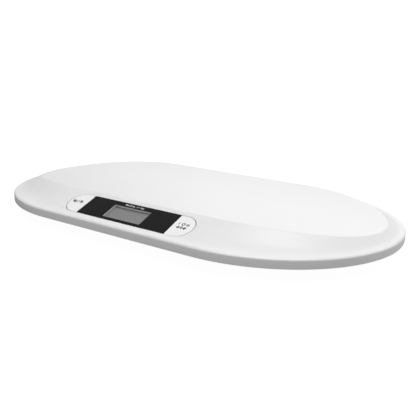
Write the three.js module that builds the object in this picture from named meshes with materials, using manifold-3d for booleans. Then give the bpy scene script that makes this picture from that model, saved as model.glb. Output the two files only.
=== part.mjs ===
// Electronic tray scale for weighing small animals or babies, millimetres, +Z up.
// The origin is on the floor under the middle of the tray, +X runs along the tray,
// and the display faces the user on the -Y side.
import * as THREE from 'three';
import { mergeVertices } from 'three/addons/utils/BufferGeometryUtils.js';
import Module from 'manifold-3d';

const wasm = await Module();
wasm.setup();

// ---------------------------------------------------------------- driving dimensions
const TRAY = {
  straightHalf: 110,      // half length of the straight side
  endRadius: 165,         // the round ends, so the tray is 550 x 330
  creaseEndReach: 146.3,  // end of the straight side to the crease at the tip
  creaseSideReach: 113,   // centre line to the crease at the long side
  rimZ: 26,               // top of the outer wall
  wallHeight: 10,
  creaseRiseEnd: 9,       // crease above the rim at the two tips
  creaseRiseSide: 19.2,   // crease above the rim at the long sides
  skin: 2.6,
  wallSkin: 2.4,
};
const RING_STEPS = [      // share of the way from rim to crease, share of the rise
  [0, 0],
  [0.05, 0.05],
  [0.2, 0.12],
  [1, 1],
];
const DISH_STEPS = [1.25, 1.6, 2];  // crease is 1, the middle of the tray is 2
const ARC_STEPS = 32;     // facets in each round end

const PANEL = {
  tilt: THREE.MathUtils.degToRad(22.1),
  y: -136.8,
  z: 35.5,
  halfHeight: 17.9,       // the window and both keys share this height
  windowHalf: 66,
  keyCentre: 75.5,        // centre of the round end of a key
  gap: 0.5,
};
// Heights from here to KEY are measured square to the panel, whose face is at 0.
const OVERLAY_THICKNESS = 0.6;
const FRAME = { lowZ: -3.3, highZ: -0.9, flangeLowZ: -5, flangeHighZ: -3, flangeHeight: 39 };
const LCD = { width: 56, height: 24.5, y: -1.2, topZ: -3.6, thickness: 1.4 };
const HOLDER_TOP_Z = -5.3;
const ZEBRA = { width: 54, depth: 2.4, y: -12.1 };
const BOARD = { width: 178, height: 45, topZ: -7.9, thickness: 1.6 };
const BOARD_SCREW = { x: 72, y: 20, headRadius: 2.4, headHeight: 1.6, shankRadius: 1.1 };
const BOARD_POST = { radius: 2.5, topZ: -1.2, pilotRadius: 1.4, pilotTopZ: -3 };
const CHIP = { radius: 7, height: 1.5, y: 4 };
const SWITCH = { x: 79, size: 6, topZ: -4.2, boreRadius: 1.95, boreFloor: -7 };
const KEY = {
  travel: 0.6,
  thickness: 2.2,
  overlap: 0.7,           // how far its ear and stem reach up into the cap
  earWidth: 10,           // the ear at the outer end holds the key in under the tray
  earLowZ: -4,
  earHighZ: -2.9,
  stemRadius: 2.5,
  stemLowZ: -3.3,
};

const BASE = {
  bottomZ: 5,
  floor: 2,
  edgeInset: 2.8,
  edgeZ: 16.4,
  slopeInset: 38,
  innerInset: 0.6,        // the inner face turns up this much further in, for an even skin
};
const BASE_SCREWS = [[125, 122], [-125, 122], [125, -122], [-125, -122], [230, 0], [-230, 0]];
const BASE_SCREW = { headRadius: 2.9, headLowZ: 5.4, headHighZ: 6.9, shankRadius: 1.4, tipZ: 19 };
const BASE_BOSS = { radius: 4.8, topZ: 9.6, headBore: 3.2, shankBore: 1.9 };
const TRAY_POST = {       // screw posts under the tray; each top ends inside the tray's skin
  radius: 3.6,
  lowZ: 9.9,
  sideTopZ: 39.9,
  endTopZ: 34.2,
  pilotRadius: 1.7,
  pilotTopZ: 21,
};
const FEET = { rear_left: [-155, 82], rear_right: [155, 82],
  front_left: [-155, -82], front_right: [155, -82] };
const FOOT = { capRadius: 16.5, flangeRadius: 20.5, bore: 17.2, travel: 0.8 };
const FOOT_CAP_PROFILE = [  // radius, height; the pad sits in the recess at the bottom
  [0, 1.9],
  [12.9, 1.9],
  [12.9, 1.1],
  [15, 1.1],
  [FOOT.capRadius, 2.6],
  [FOOT.capRadius, 7.3],
  [FOOT.flangeRadius, 7.3],
  [FOOT.flangeRadius, 9.3],
  [0, 9.3],
];
const FOOT_PAD_PROFILE = [[0, 0], [11.5, 0], [12.5, 1], [12.5, 1.6], [0, 1.6]];
const FOOT_POST = { radius: 6, topZ: 38.8, relief: 0.5 };
const CELL = { half: 16, lowZ: 9.6, thickness: 1.2, tabReach: 20.9, tabWidth: 8 };
const TONGUE = { length: 20, width: 16, slot: 1.6 };
const GAUGE = { length: 4, width: 6, thickness: 0.8, reach: 11.5, glue: 0.1 };

const BATTERY = { radius: 5.15, length: 43.5, pitch: 11.6, z: 13.2, nub: 1 };
const BAY = { y: 35, width: 36, length: 53, topZ: 19.4, wall: 1.8 };
const DOOR = { width: 42, length: 60, tab: 7, tabX: 11, tabLowZ: 7.4, tabTopZ: 8.6 };
const LATCH = { width: 12, depth: 4, notchWidth: 14, slotX: 7.2, slotWidth: 1.2, slotLength: 14 };
const CONTACT = { thickness: 0.6, lowZ: 9.5, highZ: 17, overhang: 4, baseRadius: 3 };
const TERMINALS = { spring: { reach: 3.6, radius: 2 }, plate: { reach: 2.4, radius: 1.2 } };
const LEAD = { cellRadius: 1.2, batteryRadius: 0.8, boreRadius: 1.5, boreLength: 24, boreZ: 16 };

const GAP = 0.3;          // between pieces that touch
const THROUGH = 1;        // how far a cutter runs past a face
const RISE_OVER_PANEL = 8;  // the tray's face rises less than this over the panel's plane

// ---------------------------------------------------------------- finishes
const FINISHES = {
  shell: ['#f1f1f2', 0.32, 0],
  base: ['#e4e4e6', 0.5, 0],
  overlay: ['#18181a', 0.22, 0],
  frame: ['#d9dadc', 0.45, 0],
  key: ['#f0f0f1', 0.36, 0],
  lcd: ['#868886', 0.25, 0],
  board: ['#1f6b3a', 0.55, 0],
  black: ['#151515', 0.6, 0],
  rubber: ['#3a3a3c', 0.85, 0],
  steel: ['#b9bcbf', 0.35, 1],
  contact: ['#d0d2d4', 0.25, 1],
  battery: ['#3d6f94', 0.35, 0.2],
  wire: ['#b02a26', 0.6, 0],
};

function finish(name) {
  const [color, roughness, metalness] = FINISHES[name];
  return new THREE.MeshStandardMaterial({ color, roughness, metalness });
}

function piece(name, geometry, finishName) {
  const mesh = new THREE.Mesh(geometry, finish(finishName));
  mesh.name = name;
  return mesh;
}

// ---------------------------------------------------------------- solid helpers
function solid(geometry) {
  const bare = geometry.clone();
  bare.deleteAttribute('normal');
  bare.deleteAttribute('uv');
  const merged = mergeVertices(bare, 1e-4);
  const index = merged.getIndex().array;
  const corners = [];
  for (let i = 0; i < index.length; i += 3) {
    const [a, b, c] = [index[i], index[i + 1], index[i + 2]];
    if (a !== b && b !== c && c !== a) corners.push(a, b, c);
  }
  return new wasm.Manifold(new wasm.Mesh({
    numProp: 3,
    vertProperties: new Float32Array(merged.getAttribute('position').array),
    triVerts: new Uint32Array(corners),
  }));
}

function geometryOf(body) {
  const mesh = body.getMesh();
  const geometry = new THREE.BufferGeometry();
  geometry.setAttribute('position', new THREE.BufferAttribute(mesh.vertProperties, 3));
  geometry.setIndex(new THREE.BufferAttribute(mesh.triVerts, 1));
  geometry.computeVertexNormals();
  return geometry;
}

function shaped(first, added = [], cut = []) {
  let body = solid(first);
  for (const geometry of added) body = body.add(solid(geometry));
  for (const geometry of cut) body = body.subtract(solid(geometry));
  return geometryOf(body);
}

function block(width, depth, low, high, x = 0, y = 0) {
  const geometry = new THREE.BoxGeometry(width, depth, high - low);
  return geometry.translate(x, y, (low + high) / 2);
}

function rod(radius, low, high, x = 0, y = 0, facets = 24) {
  const geometry = new THREE.CylinderGeometry(radius, radius, high - low, facets);
  return geometry.rotateX(Math.PI / 2).translate(x, y, (low + high) / 2);
}

function turned(profile, facets = 28) {
  const points = profile.map(([radius, z]) => new THREE.Vector2(radius, z));
  return new THREE.LatheGeometry(points, facets).rotateX(Math.PI / 2);
}

function slab(shape, low, high) {
  const options = { depth: high - low, bevelEnabled: false, curveSegments: 12 };
  return new THREE.ExtrudeGeometry(shape, options).translate(0, 0, low);
}

function rectangle(width, height, x = 0, y = 0) {
  const shape = new THREE.Shape();
  shape.moveTo(x - width / 2, y - height / 2);
  shape.lineTo(x + width / 2, y - height / 2);
  shape.lineTo(x + width / 2, y + height / 2);
  shape.lineTo(x - width / 2, y + height / 2);
  shape.closePath();
  return shape;
}

function tube(points, radius) {
  const path = new THREE.CatmullRomCurve3(points.map((p) => new THREE.Vector3(...p)));
  const section = new THREE.Shape();
  section.absarc(0, 0, radius, 0, 2 * Math.PI);
  const options = { steps: 24, curveSegments: 4, bevelEnabled: false, extrudePath: path };
  return new THREE.ExtrudeGeometry(section, options);
}

// Places a geometry drawn in the display panel's own frame into the object's frame.
function onPanel(geometry) {
  return geometry.rotateX(PANEL.tilt).translate(0, PANEL.y, PANEL.z);
}

// ---------------------------------------------------------------- tray outline
// One station per corner of the oval: two half circles joined by the straight sides.
const STATIONS = [];
for (const side of [1, -1]) {
  for (let i = 0; i <= ARC_STEPS; i += 1) {
    const angle = Math.PI * (i / ARC_STEPS - side / 2);
    STATIONS.push({ x: side * TRAY.straightHalf, cos: Math.cos(angle), sin: Math.sin(angle) });
  }
}

function insetPoint(station, inset, z) {
  const reach = TRAY.endRadius - inset;
  return new THREE.Vector3(station.x + reach * station.cos, reach * station.sin, z);
}

// A closed skin round the oval: the lathe gives the faces, each ring gives the corners.
function ovalSolid(rings) {
  const blank = rings.map((_, i) => new THREE.Vector2(1, i));
  const geometry = new THREE.LatheGeometry(blank, STATIONS.length);
  const position = geometry.getAttribute('position');
  for (let i = 0; i < position.count; i += 1) {
    const station = STATIONS[Math.floor(i / rings.length) % STATIONS.length];
    const corner = rings[i % rings.length](station);
    position.setXYZ(i, corner.x, corner.y, corner.z);
  }
  return geometry;
}

function dishRise(y) {
  const share = (y / TRAY.creaseSideReach) ** 2;
  return TRAY.creaseRiseEnd + (TRAY.creaseRiseSide - TRAY.creaseRiseEnd) * share;
}

// A corner of the tray's face: way is 0 at the rim, 1 at the crease, 2 in the middle.
function facePoint(station, way, rise, drop) {
  const creaseX = station.x + TRAY.creaseEndReach * station.cos;
  const creaseY = TRAY.creaseSideReach * station.sin;
  if (way >= 1) {
    const y = creaseY * (2 - way);
    return new THREE.Vector3(creaseX * (2 - way), y, TRAY.rimZ + dishRise(y) - drop);
  }
  const rim = insetPoint(station, 0, 0);
  return new THREE.Vector3(
    rim.x + (creaseX - rim.x) * way,
    rim.y + (creaseY - rim.y) * way,
    TRAY.rimZ + dishRise(creaseY) * rise - drop,
  );
}

// ---------------------------------------------------------------- casing
function trayBlank() {
  const foot = TRAY.rimZ - TRAY.wallHeight;
  const outside = [
    (s) => insetPoint(s, 0, foot),
    ...RING_STEPS.map(([way, rise]) => (s) => facePoint(s, way, rise, 0)),
    ...DISH_STEPS.map((way) => (s) => facePoint(s, way, 1, 0)),
  ];
  const inside = [
    (s) => facePoint(s, 2, 1, TRAY.skin),
    (s) => facePoint(s, 1.5, 1, TRAY.skin),
    (s) => facePoint(s, 1, 1, TRAY.skin),
    (s) => facePoint(s, ...RING_STEPS[2], TRAY.skin),
    (s) => insetPoint(s, TRAY.wallSkin, TRAY.rimZ - TRAY.skin),
    (s) => insetPoint(s, TRAY.wallSkin, foot),
    (s) => insetPoint(s, 0, foot),
  ];
  return ovalSolid([...outside, ...inside]);
}

function pill(half, height) {
  const shape = new THREE.Shape();
  const centre = half - height;
  shape.absarc(centre, 0, height, -Math.PI / 2, Math.PI / 2);
  shape.absarc(-centre, 0, height, Math.PI / 2, 1.5 * Math.PI);
  shape.closePath();
  return shape;
}

function topShell() {
  const opening = PANEL.keyCentre + PANEL.halfHeight + PANEL.gap;
  const below = FRAME.flangeLowZ - THROUGH;
  const above = RISE_OVER_PANEL;
  const added = [];
  const cut = [onPanel(slab(pill(opening, PANEL.halfHeight + PANEL.gap), below, above))];
  for (const [x, y] of BASE_SCREWS) {
    const top = y === 0 ? TRAY_POST.endTopZ : TRAY_POST.sideTopZ;
    added.push(rod(TRAY_POST.radius, TRAY_POST.lowZ, top, x, y));
    cut.push(rod(TRAY_POST.pilotRadius, TRAY_POST.lowZ - THROUGH, TRAY_POST.pilotTopZ, x, y, 12));
  }
  const stop = CELL.lowZ + CELL.thickness + FOOT.travel + FOOT_POST.relief;
  for (const [x, y] of Object.values(FEET)) {
    added.push(rod(FOOT_POST.radius, stop, FOOT_POST.topZ, x, y));
  }
  const postLow = BOARD.topZ + GAP;
  for (const [x, y] of boardScrewPlaces()) {
    added.push(onPanel(rod(BOARD_POST.radius, postLow, BOARD_POST.topZ, x, y, 16)));
    cut.push(onPanel(rod(BOARD_POST.pilotRadius, postLow - THROUGH, BOARD_POST.pilotTopZ, x, y, 12)));
  }
  return piece('top_shell', shaped(trayBlank(), added, cut), 'shell');
}

function baseBlank() {
  const { bottomZ, floor, edgeInset, edgeZ, slopeInset } = BASE;
  const middle = (z) => () => new THREE.Vector3(0, 0, z);
  return ovalSolid([
    middle(bottomZ),
    (s) => insetPoint(s, slopeInset, bottomZ),
    (s) => insetPoint(s, edgeInset, edgeZ),
    (s) => insetPoint(s, edgeInset, edgeZ + floor),
    (s) => insetPoint(s, slopeInset + BASE.innerInset, bottomZ + floor),
    middle(bottomZ + floor),
  ]);
}

function baseCover() {
  const top = BASE.bottomZ + BASE.floor;
  const low = BASE.bottomZ - THROUGH;
  const bayOuterWidth = DOOR.width + 2 * BAY.wall;
  const bayOuterLength = DOOR.length + 2 * BAY.wall;
  const bayHigh = BAY.topZ + BAY.wall;
  const added = [block(bayOuterWidth, bayOuterLength, top - GAP, bayHigh, 0, BAY.y)];
  const cut = [
    block(BAY.width, BAY.length, low, BAY.topZ, 0, BAY.y),
    block(DOOR.width, DOOR.length, low, top, 0, BAY.y),
    block(LATCH.notchWidth, LATCH.depth, low, top + THROUGH, 0, BAY.y - DOOR.length / 2),
  ];
  const tabRoom = { width: DOOR.tab + 2, length: 8.5, height: 5.5 };
  for (const x of [-DOOR.tabX, DOOR.tabX]) {
    const y = BAY.y + DOOR.length / 2 - 0.8;
    cut.push(block(tabRoom.width, tabRoom.length, top, top + tabRoom.height, x, y));
  }
  const leadY = BAY.y + BAY.length / 2;
  cut.push(wireBore(-BATTERY.pitch, leadY), wireBore(BATTERY.pitch, 2 * BAY.y - leadY));
  for (const [x, y] of BASE_SCREWS) {
    added.push(rod(BASE_BOSS.radius, top - GAP, BASE_BOSS.topZ, x, y));
    cut.push(rod(BASE_BOSS.headBore, low, BASE_SCREW.headHighZ + GAP, x, y));
    cut.push(rod(BASE_BOSS.shankBore, low, BASE_BOSS.topZ + THROUGH, x, y, 12));
  }
  for (const [x, y] of Object.values(FEET)) {
    cut.push(rod(FOOT.bore, low, top + THROUGH, x, y, 40));
  }
  return piece('base_cover', shaped(baseBlank(), added, cut), 'base');
}

// A hole along Y through the battery bay's wall for one battery lead.
function wireBore(x, y) {
  const bore = new THREE.CylinderGeometry(LEAD.boreRadius, LEAD.boreRadius, LEAD.boreLength, 12);
  return bore.translate(x, y, LEAD.boreZ);
}

// ---------------------------------------------------------------- display and keys
function lcdOpening(width, height) {
  return rectangle(width, height, 0, LCD.y);
}

function displayOverlay() {
  const shape = rectangle(2 * PANEL.windowHalf, 2 * PANEL.halfHeight);
  shape.holes.push(lcdOpening(LCD.width, LCD.height));
  return piece('display_overlay', onPanel(slab(shape, -OVERLAY_THICKNESS, 0)), 'overlay');
}

function displayFrame() {
  const width = 2 * PANEL.windowHalf - 2 * GAP;
  const height = 2 * PANEL.halfHeight - 2 * GAP;
  const below = FRAME.flangeLowZ - THROUGH;
  const plate = slab(rectangle(width, height), FRAME.lowZ, FRAME.highZ);
  const flange = slab(rectangle(width, FRAME.flangeHeight), FRAME.flangeLowZ, FRAME.flangeHighZ);
  const window = slab(lcdOpening(LCD.width, LCD.height), below, 0);
  const pocket = slab(lcdOpening(LCD.width + 7, LCD.height + 5), below, FRAME.lowZ);
  return piece('display_frame', onPanel(shaped(plate, [flange], [window, pocket])), 'frame');
}

function lcdGlass() {
  const glass = slab(lcdOpening(LCD.width + 6, LCD.height + 4), LCD.topZ - LCD.thickness, LCD.topZ);
  return piece('lcd_glass', onPanel(glass), 'lcd');
}

function lcdHolder() {
  const shape = lcdOpening(LCD.width + 10, LCD.height + 8);
  shape.holes.push(lcdOpening(LCD.width + 2, LCD.height + 0.5));
  const low = BOARD.topZ + GAP;
  return piece('lcd_holder', onPanel(slab(shape, low, HOLDER_TOP_Z)), 'frame');
}

function zebraStrip() {
  const outline = rectangle(ZEBRA.width, ZEBRA.depth, 0, ZEBRA.y);
  const strip = slab(outline, BOARD.topZ + GAP, HOLDER_TOP_Z);
  return piece('zebra_strip', onPanel(strip), 'rubber');
}

function boardScrewPlaces() {
  const { x, y } = BOARD_SCREW;
  return [[-x, -y], [-x, y], [x, -y], [x, y]];
}

function mainBoard() {
  const low = BOARD.topZ - BOARD.thickness;
  const hole = BOARD_SCREW.shankRadius + 0.4;
  const cut = boardScrewPlaces().map(([x, y]) => (
    rod(hole, low - THROUGH, BOARD.topZ + THROUGH, x, y, 12)));
  const plate = slab(rectangle(BOARD.width, BOARD.height), low, BOARD.topZ);
  return piece('main_board', onPanel(shaped(plate, [], cut)), 'board');
}

function controllerChip() {
  const high = BOARD.topZ - BOARD.thickness - GAP;
  const blob = rod(CHIP.radius, high - CHIP.height, high, 0, CHIP.y);
  return piece('controller_chip', onPanel(blob), 'black');
}

function boardScrew(number, [x, y]) {
  const high = BOARD.topZ - BOARD.thickness - GAP;
  const head = rod(BOARD_SCREW.headRadius, high - BOARD_SCREW.headHeight, high, x, y, 16);
  const shank = rod(BOARD_SCREW.shankRadius, high - GAP, BOARD.topZ + 4, x, y, 12);
  return piece(`board_screw_${number}`, onPanel(shaped(head, [shank])), 'steel');
}

function keySwitch(name, x) {
  const low = BOARD.topZ + GAP;
  const body = block(SWITCH.size, SWITCH.size, low, SWITCH.topZ, x);
  const bore = rod(SWITCH.boreRadius, SWITCH.boreFloor, SWITCH.topZ + THROUGH, x, 0, 16);
  return piece(name, onPanel(shaped(body, [], [bore])), 'black');
}

function switchPlunger(name, x) {
  const low = SWITCH.boreFloor + KEY.travel + 0.2;
  const plunger = rod(SWITCH.boreRadius - GAP, low, SWITCH.topZ + KEY.travel, x, 0, 16);
  return piece(name, onPanel(plunger), 'rubber');
}

// A key is a D shape: a straight edge along the window and a round outer end.
function keyOutline() {
  const shape = new THREE.Shape();
  const inner = PANEL.windowHalf + GAP;
  shape.moveTo(inner, -PANEL.halfHeight);
  shape.lineTo(PANEL.keyCentre, -PANEL.halfHeight);
  shape.absarc(PANEL.keyCentre, 0, PANEL.halfHeight, -Math.PI / 2, Math.PI / 2);
  shape.lineTo(inner, PANEL.halfHeight);
  shape.closePath();
  return shape;
}

function key(name, side) {
  const tip = PANEL.keyCentre + PANEL.halfHeight;
  const inCap = KEY.overlap - KEY.thickness;
  const added = [
    block(3, KEY.earWidth, KEY.earLowZ, inCap, tip - 3),
    block(5, KEY.earWidth, KEY.earLowZ, KEY.earHighZ, tip - 0.5),
    rod(KEY.stemRadius, KEY.stemLowZ, inCap, SWITCH.x, 0, 16),
  ];
  const cap = shaped(slab(keyOutline(), -KEY.thickness, 0), added);
  if (side < 0) cap.rotateZ(Math.PI);
  return piece(name, onPanel(cap), 'key');
}

// ---------------------------------------------------------------- feet and load cells
function footCap(name, [x, y]) {
  const cap = turned(FOOT_CAP_PROFILE).translate(x, y, 0);
  return piece(`foot_cap_${name}`, cap, 'base');
}

function footPad(name, [x, y]) {
  const pad = turned(FOOT_PAD_PROFILE).translate(x, y, 0);
  return piece(`foot_pad_${name}`, pad, 'rubber');
}

// A stamped steel plate whose middle tongue is cut free on three sides.
function loadCell(name, [x, y]) {
  const { half, lowZ, thickness, tabReach, tabWidth } = CELL;
  const { length, width, slot } = TONGUE;
  const inward = -Math.sign(x);
  const plate = block(2 * half, 2 * half, lowZ, lowZ + thickness);
  const tab = block(tabReach, tabWidth, lowZ, lowZ + thickness, inward * tabReach / 2);
  const window = [lowZ - THROUGH, lowZ + thickness + THROUGH];
  const cut = [
    block(length, slot, ...window, 0, -width / 2),
    block(length, slot, ...window, 0, width / 2),
    block(slot, width, ...window, -inward * length / 2, 0),
  ];
  const cell = shaped(plate, [tab], cut);
  return piece(`load_cell_${name}`, cell.translate(x, y, 0), 'steel');
}

// The gauge is bonded to the root of the tongue, clear of the tray's post.
function strainGauge(name, [x, y]) {
  const low = CELL.lowZ + CELL.thickness + GAUGE.glue;
  const gaugeX = x - Math.sign(x) * GAUGE.reach;
  const gauge = block(GAUGE.length, GAUGE.width, low, low + GAUGE.thickness, gaugeX, y);
  return piece(`strain_gauge_${name}`, gauge, 'frame');
}

// ---------------------------------------------------------------- battery bay
function battery(number) {
  const x = (number - 2) * BATTERY.pitch;
  const half = BATTERY.length / 2;
  const profile = [
    [0, -half],
    [BATTERY.radius, -half],
    [BATTERY.radius, half],
    [2, half],
    [2, half + BATTERY.nub],
    [0, half + BATTERY.nub],
  ];
  const cell = turned(profile, 20).rotateX(-Math.PI / 2);
  if (number === 2) cell.rotateX(Math.PI);
  return piece(`battery_${number}`, cell.translate(x, BAY.y, BATTERY.z), 'battery');
}

// A contact strip; its terminals are [x, "spring" or "plate"], and end is +1 or -1 along Y.
function contact(name, end, terminals) {
  const xs = terminals.map(([x]) => x);
  const left = Math.min(...xs) - CONTACT.overhang;
  const right = Math.max(...xs) + CONTACT.overhang;
  const { thickness, lowZ, highZ, baseRadius } = CONTACT;
  const wallY = BAY.y + end * (BAY.length / 2 - thickness);
  const strip = block(right - left, thickness, lowZ, highZ, (left + right) / 2, wallY);
  const faces = terminals.map(([x, kind]) => {
    const { reach, radius } = TERMINALS[kind];
    const cone = new THREE.CylinderGeometry(radius, baseRadius, reach, 16);
    if (end > 0) cone.rotateX(Math.PI);
    return cone.translate(x, wallY - end * reach / 2, BATTERY.z);
  });
  return piece(name, shaped(strip, faces), 'contact');
}

// The door hangs on two tabs that reach over the lip at its rear edge.
function batteryDoor() {
  const low = BASE.bottomZ;
  const high = BASE.bottomZ + BASE.floor - GAP;
  const hingeY = BAY.y + DOOR.length / 2;
  const latchY = BAY.y - DOOR.length / 2;
  const plate = block(DOOR.width - 2 * GAP, DOOR.length - 2 * GAP, low, high, 0, BAY.y);
  const added = [block(LATCH.width, LATCH.depth, low, high, 0, latchY + 1.1)];
  for (const x of [-DOOR.tabX, DOOR.tabX]) {
    added.push(block(DOOR.tab, 2.4, high - THROUGH, DOOR.tabTopZ, x, hingeY - 1.8));
    added.push(block(DOOR.tab, 5.3, DOOR.tabLowZ, DOOR.tabTopZ, x, hingeY + 0.15));
  }
  const cut = [-LATCH.slotX, LATCH.slotX].map((x) => block(
    LATCH.slotWidth, LATCH.slotLength, low - THROUGH, high + THROUGH, x, latchY + 6));
  return piece('battery_door', shaped(plate, added, cut), 'base');
}

// ---------------------------------------------------------------- screws and wiring
function baseScrew(number, [x, y]) {
  const { headRadius, headLowZ, headHighZ, shankRadius, tipZ } = BASE_SCREW;
  const head = rod(headRadius, headLowZ, headHighZ, x, y, 16);
  const shank = rod(shankRadius, headHighZ - GAP, tipZ, x, y, 12);
  return piece(`base_screw_${number}`, shaped(head, [shank]), 'steel');
}

// The last two points of a lead run square into the underside of the board.
function boardEntry(x) {
  const under = BOARD.topZ - BOARD.thickness;
  const [y, straight, clear] = [12, 8, 0.4];
  return [under - straight, under - clear].map((depth) => {
    const point = new THREE.Vector3(x, y, depth);
    point.applyAxisAngle(new THREE.Vector3(1, 0, 0), PANEL.tilt);
    return [x, point.y + PANEL.y, point.z + PANEL.z];
  });
}

function cellLead(name, [x, y]) {
  const side = Math.sign(x);
  const start = [x - side * (CELL.tabReach + 0.4), y, 10.3];
  const near = [x - side * (CELL.tabReach + 9), y * 0.98, 9.4];
  const middle = y < 0
    ? [[side * 92, -98, 9.2], [side * 60, -108, 12]]
    : [[side * 72, 22, 9], [side * 50, -60, 9], [side * 38, -106, 12]];
  const route = [start, near, ...middle, ...boardEntry(side * (y < 0 ? 56 : 36))];
  return piece(`cell_lead_${name}`, tube(route, LEAD.cellRadius), 'wire');
}

function batteryLeads() {
  const far = BAY.y + BAY.length / 2;
  const near = BAY.y - BAY.length / 2;
  const x = BATTERY.pitch;
  const positive = [[-x, far + 0.2, 16], [-x - 1, far + 9, 15.8], [-24, far + 10, 12.5],
    [-31, far - 2, 9.6], [-29, 10, 9], [-20, -60, 9], [-15, -106, 12], ...boardEntry(-15)];
  const negative = [[x, near - 0.2, 16], [x, near - 8, 15.5], [18, -30, 9],
    [18, -80, 9], [15, -106, 12], ...boardEntry(15)];
  return [
    piece('battery_lead_positive', tube(positive, LEAD.batteryRadius), 'wire'),
    piece('battery_lead_negative', tube(negative, LEAD.batteryRadius), 'black'),
  ];
}

// ---------------------------------------------------------------- assembly
const scale = new THREE.Group();
scale.add(topShell(), baseCover(), displayOverlay(), displayFrame());
scale.add(lcdGlass(), lcdHolder(), zebraStrip(), mainBoard(), controllerChip());
for (const [label, side] of [['unit', -1], ['power', 1]]) {
  scale.add(key(`${label}_button`, side));
  scale.add(keySwitch(`${label}_switch`, side * SWITCH.x));
  scale.add(switchPlunger(`${label}_plunger`, side * SWITCH.x));
}
boardScrewPlaces().forEach((place, i) => scale.add(boardScrew(i + 1, place)));
BASE_SCREWS.forEach((place, i) => scale.add(baseScrew(i + 1, place)));
for (const [name, place] of Object.entries(FEET)) {
  scale.add(footCap(name, place), footPad(name, place));
  scale.add(loadCell(name, place), strainGauge(name, place), cellLead(name, place));
}
for (const number of [1, 2, 3]) scale.add(battery(number));
scale.add(contact('contact_positive', 1, [[-BATTERY.pitch, 'plate']]));
scale.add(contact('contact_negative', -1, [[BATTERY.pitch, 'spring']]));
scale.add(contact('contact_bridge_front', -1, [[-BATTERY.pitch, 'spring'], [0, 'plate']]));
scale.add(contact('contact_bridge_rear', 1, [[0, 'spring'], [BATTERY.pitch, 'plate']]));
scale.add(batteryDoor(), ...batteryLeads());

export default scale;
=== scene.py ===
"""The looks of the oval tray scale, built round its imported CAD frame, in metres."""

import math

import bmesh
import bpy
import numpy as np
from mathutils import Matrix, Vector


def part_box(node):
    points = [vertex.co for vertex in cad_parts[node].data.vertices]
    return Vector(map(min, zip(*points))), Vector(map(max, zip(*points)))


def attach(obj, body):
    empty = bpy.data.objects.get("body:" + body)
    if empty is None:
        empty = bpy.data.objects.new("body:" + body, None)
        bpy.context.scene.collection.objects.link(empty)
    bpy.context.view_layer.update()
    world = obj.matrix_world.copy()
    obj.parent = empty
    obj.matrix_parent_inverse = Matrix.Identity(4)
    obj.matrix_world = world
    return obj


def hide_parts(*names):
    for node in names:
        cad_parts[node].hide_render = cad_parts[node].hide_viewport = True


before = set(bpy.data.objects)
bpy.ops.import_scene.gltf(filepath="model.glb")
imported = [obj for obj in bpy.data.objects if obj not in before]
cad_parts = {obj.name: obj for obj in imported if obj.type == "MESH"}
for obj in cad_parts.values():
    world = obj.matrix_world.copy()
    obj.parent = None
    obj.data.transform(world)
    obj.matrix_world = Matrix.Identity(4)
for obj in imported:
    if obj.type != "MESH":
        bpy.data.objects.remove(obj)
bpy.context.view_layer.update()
MM = 0.001

# ------------------------------------------------------------------ driving dimensions, mm
tray_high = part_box("top_shell")[1]
HALF_LENGTH = tray_high.x / MM
END_RADIUS = tray_high.y / MM
STRAIGHT_HALF = HALF_LENGTH - END_RADIUS
CREASE_END = 146.3          # end of the straight side to the crease at the tip
CREASE_SIDE = 113.0         # centre line to the crease at the long side
RIM_Z = 26.0                # top of the outer wall
CREASE_RISE_END = 9.0
CREASE_RISE_SIDE = 19.2
WALL_FOOT_Z = 16.0
SKIN = 2.6
WALL_SKIN = 2.4
LIP_RISE = 0.045            # height of the lip at its edge, as a share of the crease's rise
LIP_SLOPE = 0.3
RING_START = 0.2            # share of the way where the ring's straight slope starts
RING_START_RISE = 0.12
SWEEP_START, SWEEP_STOP = 0.1, 0.65    # where the ring bends up away from the panel
FLAT_HALF = 99.0            # half length of the front ring that stays flat for the panel
SWEEP_LENGTH = 55.0         # length over which the ring goes from flat to bent
RIM_FILLET = 3.0
RIM_FILLET_DROP = 1.4       # how far the fillet starts below the rim line
LIP_SOFTNESS = 0.06
CREASE_SOFTNESS = 0.9
CREASE_REACH = 6.0          # how far past the crease the softening is drawn finely

PANEL_TILT = math.radians(22.1)
PANEL_Y, PANEL_Z = -136.8, 35.5
PANEL = Matrix.Translation((0, PANEL_Y * MM, PANEL_Z * MM)) @ Matrix.Rotation(PANEL_TILT, 4, "X")
PANEL_NORMAL = PANEL.to_3x3().col[2].copy()
PANEL_HALF = 17.9           # half height of the window and of both keys
WINDOW_HALF = 66.0
KEY_CENTRE = 75.5           # centre of a key's round end
OPENING_GAP = 0.5
KEY_TIP_RELIEF = 0.4        # how much wider the gap is at a key's round end
KEY_LEAN = 0.12             # how far a key sits off the middle of its opening
LCD_SIZE = (56.0, 24.5)
LCD_V = -1.2
LCD_TOP = -3.6
OPENING_FLARE = 0.15
SWITCH_X = 79.0
INK_HEIGHT = 0.03
INK_DEPTH = 0.02

BASE_BOTTOM = 5.0
BASE_FLOOR = 2.0
BASE_EDGE_INSET, BASE_EDGE_Z = 2.8, 16.4
BASE_SLOPE_INSET = 38.0
FOOT_BORE = 17.2
FOOT_RIM_DROP = 0.9         # how far the rim round a foot stands below the base
BOSS_RADIUS, BOSS_TOP = 4.8, 9.6
HEAD_BORE, THREAD_BORE, THREAD_BORE_TOP = 3.2, 1.9, 12.0
BAY_Y = 35.0
BAY_TOP = 19.4
BAY_INSIDE = (36.0, 53.0)
BAY_OUTSIDE = (45.6, 63.6)
DOOR_OPENING = (42.0, 60.0)
DOOR_TAB_X = 11.0
CELL_PITCH = 11.6
TERMINAL_Z = 13.2
STRIP_Z = 13.25
LABEL_Y = -38.0
LABEL_SIZE = (82.0, 32.0)
FEET = ("front_left", "front_right", "rear_left", "rear_right")
LEVEL = Matrix.Identity(4)
CUT_PAST = 3.0              # how far a cutter starts below the underside

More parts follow.
